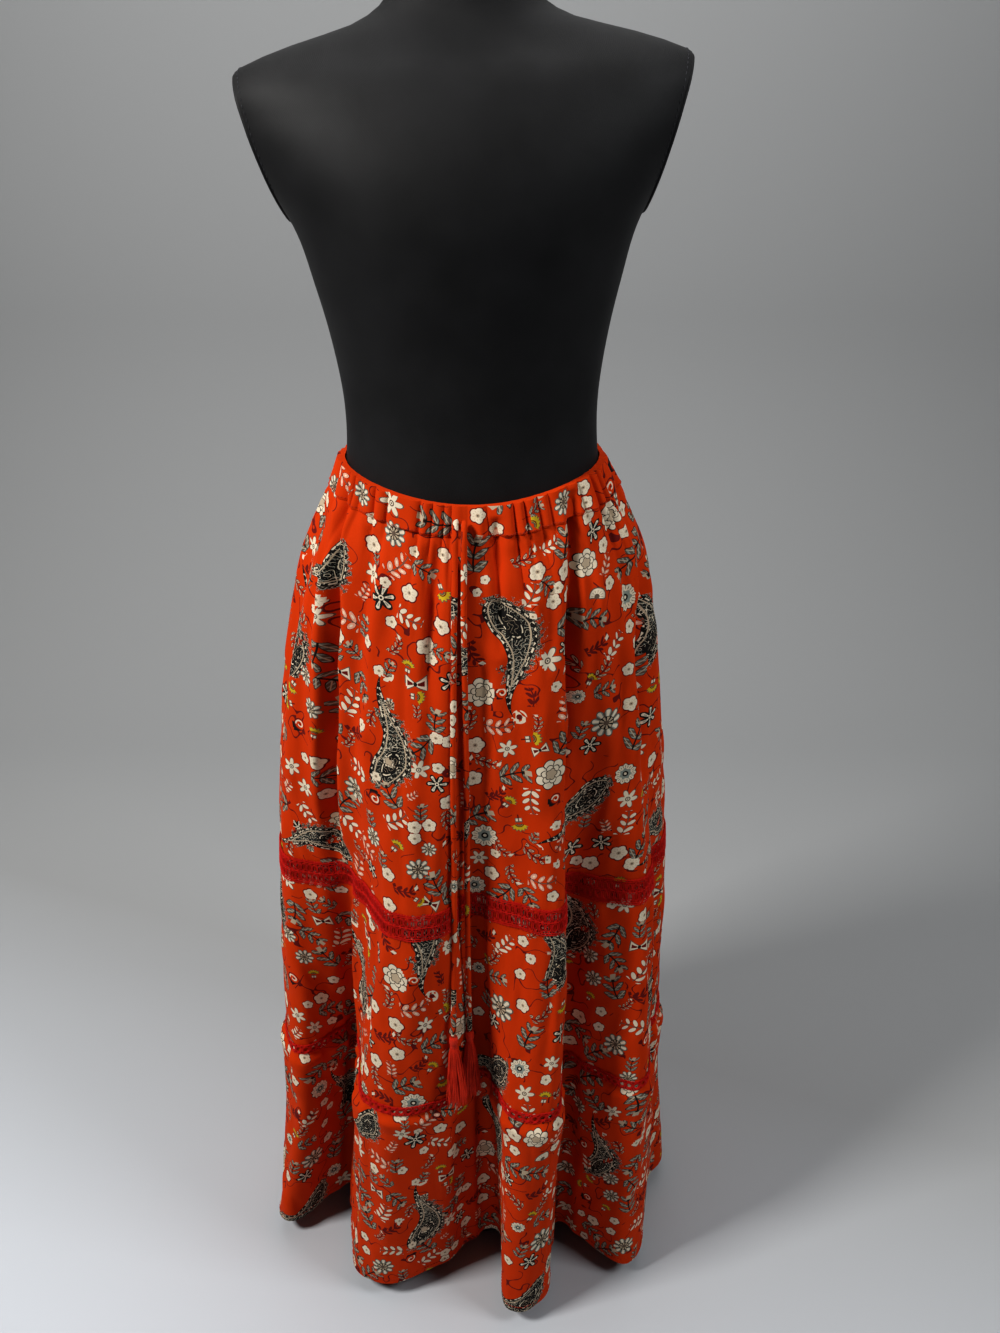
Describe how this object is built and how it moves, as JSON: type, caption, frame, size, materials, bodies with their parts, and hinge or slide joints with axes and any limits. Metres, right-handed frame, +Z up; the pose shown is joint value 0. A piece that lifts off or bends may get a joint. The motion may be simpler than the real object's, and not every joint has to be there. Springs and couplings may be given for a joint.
{
  "type": "tiered midi skirt on a limbless dress form",
  "caption": "Long tiered skirt with a gathered elastic waist, lace trims, tasselled ties and a printed cloth, worn by a black limbless dress form on a low stand.",
  "frame": {"origin": "on the floor, at the centre of the underside of the stand's base", "axes": "+Z up, -Y towards the front of the skirt, +X towards the right of the picture"},
  "size_m": [0.5016, 0.4362, 1.3943],
  "materials": {
    "form_jersey": "matt stretch jersey",
    "stand_black": "satin black",
    "printed_cloth": "printed crinkle cloth",
    "lace_red": "crochet-like cotton lace",
    "tassel_thread": "soft thread"
  },
  "bodies": {
    "root": {"form_torso": "form_jersey", "form_left_plate": "form_jersey", "form_right_plate": "form_jersey", "form_neck_cap": "form_jersey", "stand_pole": "stand_black", "stand_base": "stand_black", "waistband": "printed_cloth", "upper_tier_front": "printed_cloth", "upper_tier_back": "printed_cloth", "middle_tier_front": "printed_cloth", "middle_tier_back": "printed_cloth", "lower_tier_front": "printed_cloth", "lower_tier_back": "printed_cloth", "tie_left": "printed_cloth", "tie_right": "printed_cloth", "wide_lace_front": "lace_red", "wide_lace_back": "lace_red", "narrow_lace_front": "lace_red", "narrow_lace_back": "lace_red", "tassel_left": "tassel_thread", "tassel_right": "tassel_thread"}
  },
  "joints": []
}
